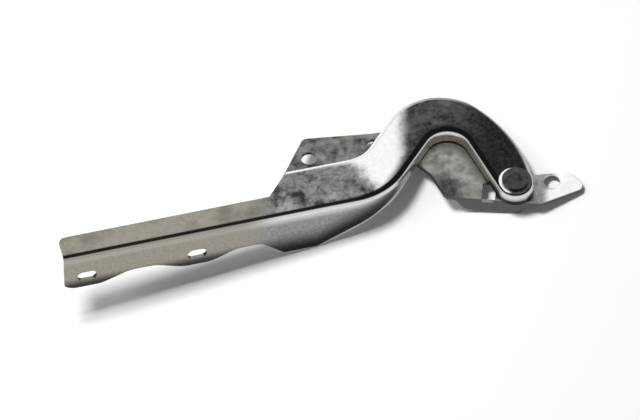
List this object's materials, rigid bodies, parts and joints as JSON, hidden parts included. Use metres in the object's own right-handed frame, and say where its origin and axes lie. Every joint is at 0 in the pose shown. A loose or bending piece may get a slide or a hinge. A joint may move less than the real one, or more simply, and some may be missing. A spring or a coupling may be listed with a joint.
{
  "type": "hood hinge",
  "caption": "Gooseneck hood hinge: a flanged pressed steel arm with slotted scalloped flange, riveted to a flat pressed body bracket.",
  "frame": {"origin": "centre of the two hood bolt slots, on the outer face of the hood flange", "axes": "+X along the straight arm from the hood end to the pivot, +Y from the hood flange into the web, +Z along the pivot axis out of the web's show face"},
  "size_m": [0.3654, 0.1038, 0.0467],
  "materials": {
    "arm_zinc": "mottled zinc plate",
    "bracket_zinc": "bright zinc plate",
    "rivet_zinc": "satin zinc plate",
    "washer_zinc": "bright zinc plate",
    "bush_bronze": "sintered bronze"
  },
  "bodies": {
    "bracket": {"body_bracket": "bracket_zinc", "pivot_rivet": "rivet_zinc", "thrust_washer": "washer_zinc"},
    "arm": {"hinge_arm": "arm_zinc", "pivot_bush": "bush_bronze", "head_washer": "washer_zinc"}
  },
  "joints": [
    {"name": "hood_swing", "type": "hinge", "parent": "bracket", "child": "arm", "pos_m": [0.263, -0.0095, 0.02], "axis": [0, 0, 1], "range_deg": [0, 60]}
  ]
}
